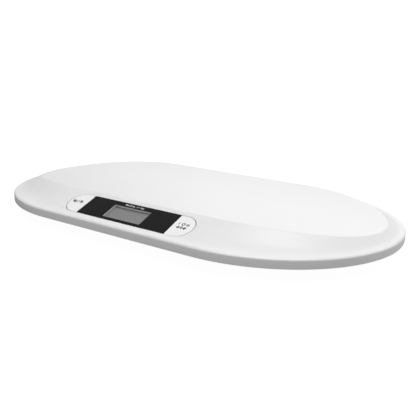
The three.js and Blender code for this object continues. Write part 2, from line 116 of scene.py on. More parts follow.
SKIN_DEPTH = 0.00003        # depth of the plastic's skin texture, in metres
SMOOTH_ANGLE = 35.0         # edges that turn further than this stay sharp
FLAT_FACE = 0.99999         # cosine above which a face counts as square to a direction


# ------------------------------------------------------------------ nodes and materials
class Nodes:
    """A short way to build a material's nodes."""

    def __init__(self, name):
        self.material = bpy.data.materials.new(name)
        self.material.use_nodes = True
        self.tree = self.material.node_tree
        self.shader = self.tree.nodes["Principled BSDF"]
        self.place = self.tree.nodes.new("ShaderNodeTexCoord").outputs["Object"]

    def add(self, kind, settings=None, **inputs):
        node = self.tree.nodes.new(kind)
        for key, value in (settings or {}).items():
            setattr(node, key, value)
        for key, value in inputs.items():
            self.feed(node.inputs[key.replace("_", " ")], value)
        return node

    def feed(self, socket, value):
        if isinstance(value, bpy.types.NodeSocket):
            self.tree.links.new(value, socket)
        else:
            socket.default_value = value

    def set(self, **inputs):
        for key, value in inputs.items():
            self.feed(self.shader.inputs[key.replace("_", " ")], value)

    def noise(self, scale, detail=3.0):
        node = self.add("ShaderNodeTexNoise", Vector=self.place, Scale=scale, Detail=detail)
        return node.outputs["Fac"]

    def ramp(self, factor, low, high, start=0.3, stop=0.7):
        node = self.add("ShaderNodeValToRGB", Fac=factor)
        node.color_ramp.elements[0].position = start
        node.color_ramp.elements[1].position = stop
        node.color_ramp.elements[0].color = (*low, 1)
        node.color_ramp.elements[1].color = (*high, 1)
        return node.outputs["Color"]

    def span(self, factor, low, high):
        node = self.add("ShaderNodeMapRange", Value=factor)
        node.inputs["To Min"].default_value = low
        node.inputs["To Max"].default_value = high
        return node.outputs["Result"]

    def bump(self, height, strength, distance):
        node = self.add("ShaderNodeBump", Height=height, Strength=strength, Distance=distance)
        self.feed(self.shader.inputs["Normal"], node.outputs["Normal"])


def moulded(name, colour, roughness, grain=1400.0, strength=0.04, mottle=0.03):
    """Moulded plastic: a faint mottle in colour and gloss over a fine skin texture."""
    made = Nodes(name)
    dark = tuple(c * (1 - mottle) for c in colour)
    made.set(Base_Color=made.ramp(made.noise(14.0, 2.0), dark, colour))
    made.set(Roughness=made.span(made.noise(420.0), roughness * (1 - mottle), roughness))
    made.bump(made.noise(grain, 2.0), strength, SKIN_DEPTH)
    return made


def white_shell():
    return moulded("shell_abs", (0.87, 0.87, 0.873), 0.28, 2200.0, 0.02, 0.012).material


def white_key():
    return moulded("key_abs", (0.95, 0.95, 0.952), 0.3, 2200.0, 0.02, 0.01).material


def white_base():
    return moulded("base_abs", (0.8, 0.8, 0.81), 0.5, 1300.0, 0.5, 0.04).material


def pale_frame():
    return moulded("frame_abs", (0.8, 0.8, 0.81), 0.42).material


def window_film():
    made = moulded("window_film", (0.008, 0.008, 0.009), 0.16, 500.0, 0.03)
    made.set(Specular_IOR_Level=0.2)
    return made.material


def lcd_film():
    made = moulded("lcd_film", (0.255, 0.257, 0.258), 0.24, 4000.0, 0.05)
    made.set(Specular_IOR_Level=0.35)
    return made.material


def label_film():
    made = moulded("label_film", (0.42, 0.43, 0.44), 0.36, 900.0, 0.1, 0.06)
    made.set(Metallic=0.6)
    return made.material


def lcd_edge():
    made = moulded("lcd_bare_glass", (0.33, 0.335, 0.335), 0.2, 4000.0, 0.05)
    made.set(Specular_IOR_Level=0.4)
    return made.material


def print_ink():
    return moulded("print_ink", (0.012, 0.012, 0.014), 0.5).material


def pale_ink():
    return moulded("pale_ink", (0.72, 0.72, 0.72), 0.5).material


def rubber():
    return moulded("pad_rubber", (0.045, 0.045, 0.048), 0.78, 900.0, 0.9, 0.15).material


def black_plastic():
    return moulded("black_plastic", (0.02, 0.02, 0.02), 0.55, 1500.0, 0.3).material


def solder_mask():
    made = moulded("solder_mask", (0.02, 0.17, 0.06), 0.4)
    lines = made.add("ShaderNodeTexWave", Vector=made.place, Scale=180.0, Distortion=2.0)
    made.set(Base_Color=made.ramp(lines.outputs["Fac"], (0.01, 0.12, 0.04), (0.02, 0.2, 0.07)))
    return made.material


def gauge_resin():
    return moulded("gauge_resin", (0.7, 0.69, 0.64), 0.4, 1200.0, 0.4).material


def metal(name, colour, roughness):
    made = Nodes(name)
    streak = made.add("ShaderNodeMapping", Vector=made.place, Scale=(40.0, 900.0, 40.0))
    grain = made.add("ShaderNodeTexNoise", Vector=streak.outputs["Vector"], Scale=6.0)
    made.set(Base_Color=made.ramp(made.noise(60.0), tuple(c * 0.9 for c in colour), colour))
    made.set(Roughness=made.span(grain.outputs["Fac"], roughness - 0.06, roughness + 0.1))
    made.set(Metallic=1.0)
    made.bump(grain.outputs["Fac"], 0.15, 0.00002)
    return made.material


def wire_cover(name, colour):
    return moulded(name, colour, 0.45, 700.0, 0.2).material


# ------------------------------------------------------------------ mesh helpers
def put_in_scene(name, data):
    """Makes an object of a mesh, curve or camera."""
    made = bpy.data.objects.new(name, data)
    bpy.context.scene.collection.objects.link(made)
    return made


def evaluated_mesh(piece):
    """A copy of a piece's mesh with its modifiers or curve settings applied."""
    graph = bpy.context.evaluated_depsgraph_get()
    return bpy.data.meshes.new_from_object(piece.evaluated_get(graph))


def make_piece(name, verts, faces, material, smooth_angle=SMOOTH_ANGLE):
    mesh = bpy.data.meshes.new(name)
    mesh.from_pydata([tuple(v) for v in verts], [], [tuple(f) for f in faces])
    piece = put_in_scene(name, mesh)
    tidy(piece)
    finish_mesh(piece, material, smooth_angle)
    return piece


def tidy(piece):
    """Merges doubled corners, drops faces without area and turns all faces outwards."""
    work = bmesh.new()
    work.from_mesh(piece.data)
    bmesh.ops.remove_doubles(work, verts=work.verts, dist=1e-7)
    bmesh.ops.dissolve_degenerate(work, edges=work.edges, dist=1e-8)
    bmesh.ops.recalc_face_normals(work, faces=work.faces)
    work.to_mesh(piece.data)
    work.free()


def finish_mesh(piece, material, smooth_angle=SMOOTH_ANGLE, flats=True):
    """Sets the material and smooth shading; flats leaves level and panel faces flat."""
    piece.data.materials.clear()
    piece.data.materials.append(material)
    for face in piece.data.polygons:
        face.use_smooth = True
    piece.data.set_sharp_from_angle(angle=math.radians(smooth_angle))
    if flats:
        for face in piece.data.polygons:
            nearest = max(abs(face.normal.z), abs(face.normal.dot(PANEL_NORMAL)))
            face.use_smooth = nearest < FLAT_FACE


def skin_rings(rings):
    """Faces of a closed skin through equal rings of corners, pinched where a ring is a point."""
    count = len(rings[0])
    verts = [corner for ring in rings for corner in ring]
    faces = []
    for i in range(len(rings) - 1):
        for j in range(count):
            k = (j + 1) % count
            below, above = i * count, (i + 1) * count
            faces.append((below + j, below + k, above + k, above + j))
    return verts, faces


def turned(name, profile, centre, material, steps=64, smooth_angle=SMOOTH_ANGLE):
    """A turned piece: profile holds (radius, z) in mm from the axis back to the axis."""
    angles = [2 * math.pi * i / steps for i in range(steps)]
    rings = []
    for radius, z in profile:
        rings.append([(radius * math.cos(a), radius * math.sin(a), z) for a in angles])
    verts, faces = skin_rings(rings)
    verts = [Vector(v) * MM + Vector(centre) for v in verts]
    return make_piece(name, verts, faces, material, smooth_angle)


def rounded(profile, radius, steps=4):
    """Rounds the corners between the ends of an open profile of points."""
    result = [profile[0]]
    for before, corner, after in zip(profile, profile[1:], profile[2:]):
        corner = Vector(corner)
        towards = [Vector(p) - corner for p in (before, after)]
        reach = min([radius] + [t.length * 0.48 for t in towards])
        start, stop = (corner + t.normalized() * reach for t in towards)
        for i in range(steps + 1):
            share = i / steps
            mid = start.lerp(corner, share).lerp(corner.lerp(stop, share), share)
            result.append(tuple(mid))
    result.append(profile[-1])
    return result


def arc(centre_x, centre_y, radius, start, stop, steps):
    angles = np.radians(np.linspace(start, stop, steps + 1))
    return [(centre_x + radius * math.cos(a), centre_y + radius * math.sin(a)) for a in angles]


def box_loop(width, height, x=0.0, y=0.0, corner=0.6, steps=5):
    """A rectangle with rounded corners, anticlockwise."""
    half_w, half_h = width / 2 - corner, height / 2 - corner
    loop = []
    for sign_x, sign_y, start in ((1, 1, 0), (-1, 1, 90), (-1, -1, 180), (1, -1, 270)):
        loop += arc(x + sign_x * half_w, y + sign_y * half_h, corner, start, start + 90, steps)
    return loop


def circle_loop(radius, x=0.0, y=0.0, steps=48):
    return arc(x, y, radius, 0, 360, steps)[:-1]


def shrink(loop, distance):
    """Moves each side of an anticlockwise loop inwards by a distance."""
    points = [Vector(p) for p in loop]
    moved = []
    for i, point in enumerate(points):
        into = (point - points[i - 1]).normalized()
        away = (points[(i + 1) % len(points)] - point).normalized()
        normal = Vector((-into.y - away.y, into.x + away.x))
        length = max(normal.length_squared, 0.5)
        moved.append(point + normal * (2 * distance / length))
    return moved


def plate(name, outer, holes, low, high, edge, place, material, steps=3):
    """A flat plate with rounded edges all round: loops in mm, placed by a matrix."""
    work = bmesh.new()
    arcs = [math.radians(90 * i / steps) for i in range(steps + 1)]
    levels = [(edge * (1 - math.sin(a)), low + edge * (1 - math.cos(a))) for a in arcs]
    levels += [(edge * (1 - math.cos(a)), high - edge * (1 - math.sin(a))) for a in arcs]
    caps = {0: [], len(levels) - 1: []}
    for loop, sign in [(outer, 1)] + [(hole, -1) for hole in holes]:
        rings = []
        for inset, z in levels:
            ring = [work.verts.new((p.x, p.y, z)) for p in shrink(loop, sign * inset)]
            rings.append(ring)
        for a, b in zip(rings, rings[1:]):
            for i in range(len(a)):
                j = (i + 1) % len(a)
                work.faces.new((a[i], a[j], b[j], b[i]))
        for level in caps:
            ring = rings[level]
            caps[level] += [work.edges.get((ring[i - 1], ring[i])) for i in range(len(ring))]
    for edges in caps.values():
        bmesh.ops.triangle_fill(work, use_beauty=True, use_dissolve=False, edges=edges)
    bmesh.ops.remove_doubles(work, verts=work.verts, dist=1e-5)
    bmesh.ops.recalc_face_normals(work, faces=work.faces)
    work.transform(place @ Matrix.Scale(MM, 4))
    mesh = bpy.data.meshes.new(name)
    work.to_mesh(mesh)
    work.free()
    piece = put_in_scene(name, mesh)
    finish_mesh(piece, material)
    return piece


def combine(piece, others, operation="DIFFERENCE", flats=True):
    """Cuts or joins other pieces with this one and deletes them."""
    for other in others:
        step = piece.modifiers.new("combine", "BOOLEAN")
        step.operation = operation
        step.solver = "MANIFOLD"
        step.object = other
    mesh = evaluated_mesh(piece)
    material = piece.data.materials[0]
    piece.modifiers.clear()
    piece.data = mesh
    for other in others:
        bpy.data.objects.remove(other)
    tidy(piece)
    finish_mesh(piece, material, flats=flats)


def merge(name, pieces, material):
    """Makes one object of several, each kept as its own closed body."""
    work = bmesh.new()
    for piece in pieces:
        work.from_mesh(piece.data)
        bpy.data.objects.remove(piece)
    mesh = bpy.data.meshes.new(name)
    work.to_mesh(mesh)
    work.free()
    merged = put_in_scene(name, mesh)
    finish_mesh(merged, material)
    return merged


def wire(name, points, radius, material):
    """A round wire, its radius in mm, through points in metres."""
    curve = bpy.data.curves.new(name, "CURVE")
    curve.dimensions = "3D"
    curve.bevel_depth = radius * MM
    curve.bevel_resolution = 3
    curve.use_fill_caps = True
    spline = curve.splines.new("POLY")
    spline.points.add(len(points) - 1)
    for point, target in zip(spline.points, points):
        point.co = (*target, 1)
    holder = put_in_scene(name + "_curve", curve)
    mesh = evaluated_mesh(holder)
    bpy.data.objects.remove(holder)
    piece = put_in_scene(name, mesh)
    finish_mesh(piece, material, 60.0)
    return piece


def stand_for(piece, body, slot, *nodes):
    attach(piece, body)
    if nodes:
        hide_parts(*nodes)


# ------------------------------------------------------------------ tray surface
ARC_STEPS, STRAIGHT_STEPS = 110, 36


def outline_stations():
    """Centre of curvature and outward direction at each station round the oval."""
    rows = []
    for side in (1, -1):
        for i in range(ARC_STEPS):
            angle = math.pi * (i / ARC_STEPS - side / 2)
            rows.append((side * STRAIGHT_HALF, math.cos(angle), math.sin(angle)))
        for i in range(STRAIGHT_STEPS):
            along = side * STRAIGHT_HALF * (1 - 2 * i / STRAIGHT_STEPS)
            rows.append((along, 0.0, float(side)))
    return np.array(rows)


STATIONS = outline_stations()


def inset_ring(inset, z):
    reach = END_RADIUS - inset
    x = STATIONS[:, 0] + reach * STATIONS[:, 1]
    y = reach * STATIONS[:, 2]
    return np.column_stack([x, y, np.full(len(x), z)])


def dish_rise(y):
    return CREASE_RISE_END + (CREASE_RISE_SIDE - CREASE_RISE_END) * (y / CREASE_SIDE) ** 2


def soft_min(a, b, softness):
    blend = np.clip(0.5 + 0.5 * (b - a) / softness, 0, 1)
    return b + (a - b) * blend - softness * blend * (1 - blend)


def ease(share):
    share = np.clip(share, 0, 1)
    return share * share * (3 - 2 * share)


def bend_share():
    """How bent the ring is at each station: flat beside the panel, bent everywhere else."""
    x, y = STATIONS[:, 0] + END_RADIUS * STATIONS[:, 1], STATIONS[:, 2]
    along = np.abs(x) - FLAT_HALF
    return np.where(y < 0, ease(along / SWEEP_LENGTH), 1.0)


BEND_SHARE = bend_share()


def ring_rise(way):
    """Height of the ring as a share of the crease's rise, from the lip up to the crease."""
    slope = (1 - RING_START_RISE) / (1 - RING_START)
    straight = RING_START_RISE + slope * (way - RING_START)
    flat = -soft_min(-straight, -(LIP_RISE + LIP_SLOPE * way), LIP_SOFTNESS)
    length = SWEEP_STOP - SWEEP_START
    steepest = (1 - LIP_RISE - LIP_SLOPE) / (1 - SWEEP_STOP + length / 2)
    turn = np.clip((way - SWEEP_START) / length, 0, 1)
    swept = length * (turn ** 3 - turn ** 4 / 2) + np.maximum(way - SWEEP_STOP, 0)
    bent = LIP_RISE + LIP_SLOPE * way + steepest * swept
    return flat + (bent - flat) * BEND_SHARE


def rim_and_crease():
    """Both ends of the face at each station, and the distance between them."""
    rim = inset_ring(0, 0)[:, :2]
    crease = np.column_stack([STATIONS[:, 0] + CREASE_END * STATIONS[:, 1],
                              CREASE_SIDE * STATIONS[:, 2]])
    return rim, crease, np.linalg.norm(crease - rim, axis=1)


RIM, CREASE, ACROSS = rim_and_crease()


def face_ring(way, drop=0.0):
    """A ring of the face: way is 0 at the rim and 1 at the crease, at each station."""
    spot = RIM + (CREASE - RIM) * way[:, None]
    ring = dish_rise(CREASE[:, 1]) * ring_rise(way)
    height = soft_min(ring, dish_rise(spot[:, 1]), CREASE_SOFTNESS)
    return np.column_stack([spot, RIM_Z + height - drop])


def fillet_ring(inset):
    """A ring of the rounded edge between the wall and the face."""
    ring = face_ring(inset / ACROSS)
    curve = 1 - math.sqrt(1 - (1 - inset / RIM_FILLET) ** 2)
    ring[:, 2] -= (ring[:, 2] - RIM_Z + RIM_FILLET_DROP) * curve
    return ring


def slope_ring(share, drop=0.0):
    """A ring at a share of the way from the rounded edge to the crease."""
    fillet = RIM_FILLET / ACROSS
    return face_ring(fillet + (1 - fillet) * share, drop)


def beyond_ring(distance):
    """A ring of the dish at a distance beyond the crease."""
    return face_ring(1 + distance / ACROSS)


def dish_ring(scale, beyond, drop=0.0):
    """A ring of the dish, shrunk towards the middle of the tray."""
    start = beyond_ring(beyond)[:, :2] * scale
    return np.column_stack([start, RIM_Z + dish_rise(start[:, 1]) - drop])


def tray_blank(material):
    """The tray before its panel opening: foot of the wall, face, dish, and back underneath."""
    fillet = [RIM_FILLET * (1 - math.cos(math.radians(a))) for a in range(0, 90, 10)]
    face = [fillet_ring(i) for i in fillet]
    face += [slope_ring(s) for s in np.linspace(0, 0.9, 34)]
    face += [slope_ring(s) for s in np.linspace(0.91, 1, 10)]
    face += [beyond_ring(b) for b in np.linspace(0.4, CREASE_REACH, 14)]
    face += [dish_ring(s, CREASE_REACH) for s in np.linspace(0.97, 0.0, 34)]
    under = [dish_ring(s, CREASE_REACH, SKIN) for s in np.linspace(0.0, 1, 16)]
    under += [slope_ring(s, SKIN) for s in np.linspace(1, RING_START, 8)]
    foot = [inset_ring(i, z) for i, z in rounded(
        [(WALL_SKIN, RIM_Z - SKIN), (WALL_SKIN, WALL_FOOT_Z), (0, WALL_FOOT_Z), (0, 22.0)], 0.7)]
    rings = foot + face + under + [foot[0]]
    verts, faces = skin_rings(rings)
    return make_piece("tray_shell", [Vector(v) * MM for v in verts], faces, material)


# ------------------------------------------------------------------ display panel
def pill_loop(radius):
    return arc(KEY_CENTRE, 0, radius, -90, 90, 40) + arc(-KEY_CENTRE, 0, radius, 90, 270, 40)


def flared_cutter(loop, flare, reach, material):
    """A cutter that opens out at the panel's face, which leaves a rounded edge there."""
    levels = [(0.0, -reach), (0.0, -flare)]
    steps = 5
    for i in range(1, steps + 1):
        angle = math.radians(90 * i / steps)
        levels.append((-flare * (1 - math.cos(angle)), -flare * (1 - math.sin(angle))))
    levels.append((-flare, reach))
    rings = [[(p.x, p.y, z) for p in shrink(loop, inset)] for inset, z in levels]
    count = len(loop)
    verts, faces = skin_rings(rings)
    faces += [tuple(range(count)), tuple(range(len(verts) - count, len(verts)))]
    placed = [PANEL @ (Vector(v) * MM) for v in verts]
    return make_piece("cutter", placed, faces, material)


def tray_shell():
    material = white_shell()
    shell = tray_blank(material)
    opening = pill_loop(PANEL_HALF + OPENING_GAP)
    combine(shell, [flared_cutter(opening, OPENING_FLARE, 6.0, material)], flats=False)
    stand_for(shell, "casing", "shell_white", "top_shell")


def display_window():
    opening = box_loop(*LCD_SIZE, 0, LCD_V, 0.5)
    outer = box_loop(2 * WINDOW_HALF, 2 * PANEL_HALF, corner=0.4)
    window = plate("window_film", outer, [opening], -0.6, 0, 0.12, PANEL, window_film())
    stand_for(window, "casing", "window_black", "display_overlay")


def display_frame():
    """The frame under the window: its inner walls show round the LCD."""
    material = pale_frame()
    gap = 0.6
    opening = box_loop(*LCD_SIZE, 0, LCD_V, 0.8)
    pocket = box_loop(LCD_SIZE[0] + 7, LCD_SIZE[1] + 5, 0, LCD_V, 1.0)
    width = 2 * WINDOW_HALF - gap
    top = box_loop(width, 2 * PANEL_HALF - gap)
    upper = plate("frame_upper", top, [opening], -3.3, -0.65, 0.15, PANEL, material)
    lower = plate("frame_lower", box_loop(width, 39), [pocket], -5, -3.0, 0.3, PANEL, material)
    frame_piece = merge("display_frame_moulding", [upper, lower], material)
    stand_for(frame_piece, "casing", "frame_grey", "display_frame")


def lcd():
    """The LCD: a glass plate with the grey polarising film on it."""
    low, high = LCD_TOP - 1.4, LCD_TOP - 0.2
    outer = box_loop(LCD_SIZE[0] + 6, LCD_SIZE[1] + 4, 0, LCD_V, 0.4)
    glass = plate("lcd_glass_plate", outer, [], low, high, 0.1, PANEL, lcd_edge())
    stand_for(glass, "casing", "lcd_grey", "lcd_glass")
    film = box_loop(LCD_SIZE[0] - 1.6, LCD_SIZE[1] - 1.4, 0.2, LCD_V + 0.3, 0.4)
    shown = plate("lcd_polariser", film, [], LCD_TOP - 0.22, LCD_TOP, 0.05, PANEL, lcd_film())
    stand_for(shown, "casing", "lcd_grey")


def key_loop(side):
    """A D shape: square to the window, round at the outer end; drawn for the right key."""
    inner, centre, reach = WINDOW_HALF + 0.3, KEY_CENTRE - KEY_TIP_RELIEF, PANEL_HALF
    corner = 0.8
    loop = [(inner, reach - corner)]
    loop += rounded([(inner, 0), (inner, -reach), (centre, -reach)], corner)[1:]
    loop += arc(centre, 0, reach, -90, 90, 48)[1:]
    loop += rounded([(centre, reach), (inner, reach), (inner, 0)], corner)[1:-2]
    return [(side * x, side * (y - KEY_LEAN)) for x, y in loop]


def key(label, side, material):
    """A key cap with the web and ear that hold it in, and the stem that meets its switch."""
    tip = side * (KEY_CENTRE + PANEL_HALF)
    under, bottom = -1.5, -4
    web = box_loop(3, 10, tip - side * 3)
    ear = box_loop(5, 10, tip - side * 0.5)
    stem = circle_loop(2.5, side * SWITCH_X)
    parts = [
        plate("cap", key_loop(side), [], -2.2, 0, 0.25, PANEL, material, 5),
        plate("web", web, [], bottom, under, 0.2, PANEL, material),
        plate("ear", ear, [], bottom, -2.9, 0.3, PANEL, material),
        plate("stem", stem, [], -3.3, under, 0.3, PANEL, material),
    ]
    piece = merge(label + "_key_cap", parts, material)
    stand_for(piece, label + "_key", "key_white", label + "_button")


# ------------------------------------------------------------------ printed marks
def stroke(points, width, x, y, material):
    """A printed line of even width through points in mm on the panel, moved by x and y."""
    pieces = []
    for (ax, ay), (bx, by) in zip(points, points[1:]):
        length = math.hypot(bx - ax, by - ay)
        angle = math.atan2(by - ay, bx - ax)
        turn = Matrix.Translation(((ax + bx) / 2 + x, (ay + by) / 2 + y, 0))
        turn = turn @ Matrix.Rotation(angle, 4, "Z")
        loop = box_loop(length + width, width, corner=width * 0.48, steps=3)
        flat = [turn @ Vector((px, py, 0)) for px, py in loop]
        outline = [(p.x, p.y) for p in flat]
        pieces.append(
            plate("stroke", outline, [], -INK_DEPTH, INK_HEIGHT, 0.01, PANEL, material, 1))
    return pieces


def lettering(text, size, x, y, material, weight):
    """Generic letters and numbers in Blender's own plain face."""
    curve = bpy.data.curves.new("letters", "FONT")
    curve.body = text
    curve.size = size
    curve.align_x = "CENTER"
    curve.align_y = "CENTER"
    curve.extrude = INK_DEPTH
    curve.offset = weight
    curve.resolution_u = 3
    holder = put_in_scene("letters", curve)
    mesh = evaluated_mesh(holder)
    bpy.data.objects.remove(holder)
    place = Matrix.Translation((x, y, INK_HEIGHT - INK_DEPTH))
    mesh.transform(PANEL @ Matrix.Scale(MM, 4) @ place)
    piece = put_in_scene("letters", mesh)
    finish_mesh(piece, material)
    return piece


def power_symbol(x, y, radius, material):
    """The power sign: a ring, open at the top, with a bar in the opening."""
    width = 0.95
    circle = arc(0, 0, radius, 130, 410, 20)
    bar = [(0, radius * 0.25), (0, radius * 1.3)]
    return stroke(circle, width, x, y, material) + stroke(bar, width, x, y, material)


def zero_symbol(x, y, material):
    """The usual sign for zeroing a scale: a nought between two arrows that point at it."""
    width = 1.3
    parts = [lettering("0", 5.4, x, y, material, 0.3)]
    for side in (-1, 1):
        parts += stroke([(side * 6.2, 0), (side * 2.9, 0)], width, x, y, material)
        head = [(side * 4.5, 1.6), (side * 2.8, 0), (side * 4.5, -1.6)]
        parts += stroke(head, width, x, y, material)
    return parts


def marks():
    """Generic marks in the places of the printed ones."""
    ink = print_ink()
    unit = merge("unit_key_mark", [lettering("kg / lb", 6.5, -81.4, 1.8, ink, 0.26)], ink)
    stand_for(unit, "unit_key", "window_black")
    parts = power_symbol(78.2, 3.8, 1.9, ink) + zero_symbol(79.0, -2.4, ink)
    parts += [lettering(text, 4.6, x, 3.6, ink, 0.3) for text, x in (("I", 72.4), ("O", 84.0))]
    stand_for(merge("power_key_mark", parts, ink), "power_key", "window_black")
    pale = pale_ink()
    figures = lettering("Max 20 kg   d = 10 g", 3.4, 0, 14.3, pale, 0.1)
    stand_for(merge("capacity_mark", [figures], pale), "casing", "lcd_grey")


# ------------------------------------------------------------------ base, feet and door
def base_moulding(material):
    """The base before its bay, bosses and bores: a shallow oval pan."""
    top = BASE_BOTTOM + BASE_FLOOR
    outer = rounded([(END_RADIUS, BASE_BOTTOM), (BASE_SLOPE_INSET, BASE_BOTTOM),
                     (BASE_EDGE_INSET + 0.2, BASE_EDGE_Z - 0.4), (BASE_EDGE_INSET, BASE_EDGE_Z),
                     (BASE_EDGE_INSET, BASE_EDGE_Z + BASE_FLOOR)], 14.0, 8)
    inner = [(BASE_EDGE_INSET + 1.8, BASE_EDGE_Z + BASE_FLOOR),
             (BASE_SLOPE_INSET + 0.6, top), (END_RADIUS, top)]
    profile = outer + inner
    rings = []
    for inset, z in profile:
        ring = inset_ring(inset, z)
        if inset == END_RADIUS:
            ring[:, 0] *= 0
        rings.append(ring)
    verts, faces = skin_rings(rings)
    return make_piece("base_moulding", [Vector(v) * MM for v in verts], faces, material)


def node_middle(node):
    low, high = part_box(node)
    return (low + high) / 2


def prism(loop, low, high, material):
    return plate("prism", loop, [], low, high, 0.01, LEVEL, material, 1)


def bevelled_bore(radius, x, y, low, high, flare, material):
    """A bore cutter that opens out at the underside."""
    start, mouth = low - CUT_PAST, radius + flare
    profile = [(0, start), (mouth, start), (mouth, low), (radius, low + flare), (radius, high),
               (0, high)]
    return turned("bore", profile, (x * MM, y * MM, 0), material, 72)


def screw_boss(x, y, low, material):
    profile = [(0, low), (BOSS_RADIUS, low), (BOSS_RADIUS, BOSS_TOP), (0, BOSS_TOP)]
    return turned("boss", profile, (x * MM, y * MM, 0), material, 40)


def foot_place(name):
    return node_middle("foot_pad_" + name) / MM


def foot_rim(name, high, material):
    """The ring that stands out round a foot, solid until its bore is cut."""
    spot = foot_place(name)
    low = BASE_BOTTOM - FOOT_RIM_DROP
    inner, outer = FOOT_BORE - 1, FOOT_BORE + 4.4
    section = [(inner, high), (inner, low), (FOOT_BORE + 3.2, low), (outer, BASE_BOTTOM + 0.4),
               (outer, high)]
    outline = rounded(section, 0.7)[1:]
    profile = [(0, outline[0][1]), *outline, (0, high)]
    return turned("rim", profile, (spot.x * MM, spot.y * MM, 0), material, 72)


def lead_bore(side, material):
    """A bore through an end wall of the bay for a battery lead."""
    radius, half_length = 1.5, 12
    profile = [(0, -half_length), (radius, -half_length), (radius, half_length), (0, half_length)]
    bore = turned("lead_bore", profile, (0, 0, 0), material, 24)
    end_wall = BAY_INSIDE[1] / 2
    spot = Vector((side * CELL_PITCH, BAY_Y - side * end_wall, 16.0)) * MM
    bore.data.transform(Matrix.Translation(spot) @ Matrix.Rotation(math.pi / 2, 4, "X"))
    return bore


def bay_cutters(top, material):
    """The bay, the recess for its door, the latch's notch, the tab slots and the lead bores."""
    start = BASE_BOTTOM - CUT_PAST
    half_opening = DOOR_OPENING[1] / 2
    cut = [
        prism(box_loop(*BAY_INSIDE, 0, BAY_Y, 1.0), start, BAY_TOP, material),
        prism(box_loop(*DOOR_OPENING, 0, BAY_Y, 1.2), start, top, material),
        prism(box_loop(14, 4, 0, BAY_Y - half_opening, 0.8), start, top + 1, material),
    ]
    for side in (-1, 1):
        slot = box_loop(9, 8.5, side * DOOR_TAB_X, BAY_Y + half_opening - 0.8, 0.5)
        cut.append(prism(slot, top, top + 5.5, material))
        cut.append(lead_bore(side, material))
    return cut


def base_cover():
    material = white_base()
    base = base_moulding(material)
    top = BASE_BOTTOM + BASE_FLOOR
    bay_walls = box_loop(*BAY_OUTSIDE, 0, BAY_Y, 1.5)
    added = [prism(bay_walls, top - 0.3, BAY_TOP + 1.8, material)]
    added += [screw_boss(x, y, top - 0.3, material) for x, y in screw_places()]
    added += [foot_rim(name, top - 0.5, material) for name in FEET]
    combine(base, added, "UNION")
    cut = bay_cutters(top, material)
    for x, y in screw_places():
        cut.append(bevelled_bore(HEAD_BORE, x, y, BASE_BOTTOM, top + 0.2, 0.5, material))
        cut.append(bevelled_bore(THREAD_BORE, x, y, BASE_BOTTOM, THREAD_BORE_TOP, 0.0, material))
    for name in FEET:
        spot = foot_place(name)
        low = BASE_BOTTOM - FOOT_RIM_DROP
        cut.append(bevelled_bore(FOOT_BORE, spot.x, spot.y, low, top + 2, 0.5, material))
    cut += base_decor(material)
    combine(base, cut)
    blank_label()
    stand_for(base, "casing", "base_white", "base_cover")


def blank_label():
    """The plain film label in its shallow recess."""
    loop = box_loop(*LABEL_SIZE, 0, LABEL_Y, 1.8)
    low = BASE_BOTTOM + 0.12
    label = plate("blank_label", loop, [], low, low + 0.2, 0.03, LEVEL, label_film(), 1)
    stand_for(label, "casing", "frame_grey")


def base_decor(material):
    """Shallow cuts in the underside: a border line, the label's recess and the door's arrow."""
    start, depth = BASE_BOTTOM - 2, 0.5
    border = []
    for inset in (46.0, 47.6):
        border.append([(p[0], p[1]) for p in inset_ring(inset, 0)[:, :2]])
    label_width, label_height = LABEL_SIZE
    recess = box_loop(label_width + 2, label_height + 2, 0, LABEL_Y, 2.0)
    tip_y, tail_y = BAY_Y - 44, BAY_Y - 38
    arrow = [(0, tip_y), (4.5, tail_y), (-4.5, tail_y)]
    return [
        plate("groove", border[0], [border[1]], start, BASE_BOTTOM + depth, 0.01, LEVEL, material, 1),
        prism(recess, start, BASE_BOTTOM + 0.3, material),
        prism(arrow, start, BASE_BOTTOM + depth, material),
    ]


def screw_places():
    places = []
    for i in range(1, 7):
        middle = node_middle(f"base_screw_{i}") / MM
        places.append((middle.x, middle.y))
    return places


def base_screws():
    """Self-tapping screws with a cross recess, seen from below."""
    material = metal("screw_zinc", (0.62, 0.63, 0.64), 0.32)
    start, pitch, tip = 7.2, 1.02, 19.0
    for i, (x, y) in enumerate(screw_places(), 1):
        head = [(0, 5.4), (1.5, 5.4), (2.5, 5.75), (2.9, 6.4), (2.9, 6.9), (1.4, 6.95)]
        thread = []
        for turn in range(11):
            z = start + turn * pitch
            thread += [(1.1, z), (1.4, z + 0.5)]
        profile = rounded(head, 0.3) + thread + [(0.4, tip), (0, tip)]
        screw = turned(f"base_screw_head_{i}", profile, (x * MM, y * MM, 0), material, 36)
        cross = [
            plate("cross", box_loop(*size, x, y, 0.1), [], 4.5, 6.3, 0.01, LEVEL, material, 1)
            for size in ((3.2, 0.8), (0.8, 3.2))
        ]
        combine(screw, cross)
        stand_for(screw, "casing", "steel", f"base_screw_{i}")


def foot_cap_profile():
    """The cap: a recess for the pad, a rim round it, and a wider flange above."""
    rim, body, flange = 15.0, 16.5, 20.5
    pad_seat, flange_low, top = 1.9, 7.3, 9.3
    outline = [(0, pad_seat), (12.9, pad_seat), (12.9, 1.1), (rim, 1.1), (body, 2.6),
               (body, flange_low), (flange, flange_low), (flange, top), (0, top)]
    return rounded(outline, 0.5)


def foot_pad_profile():
    """The pad: three round grooves in its tread, and a rounded edge."""
    depth, top = 0.5, 1.6
    tread = [(0, 0)]
    for radius in (3.0, 6.0, 9.0):
        tread += [(radius - 0.7, 0), (radius - 0.4, depth)]
        tread += [(radius + 0.4, depth), (radius + 0.7, 0)]
    return tread + rounded([(10, 0), (12.5, 0), (12.5, top), (11, top)], 0.6) + [(0, top)]


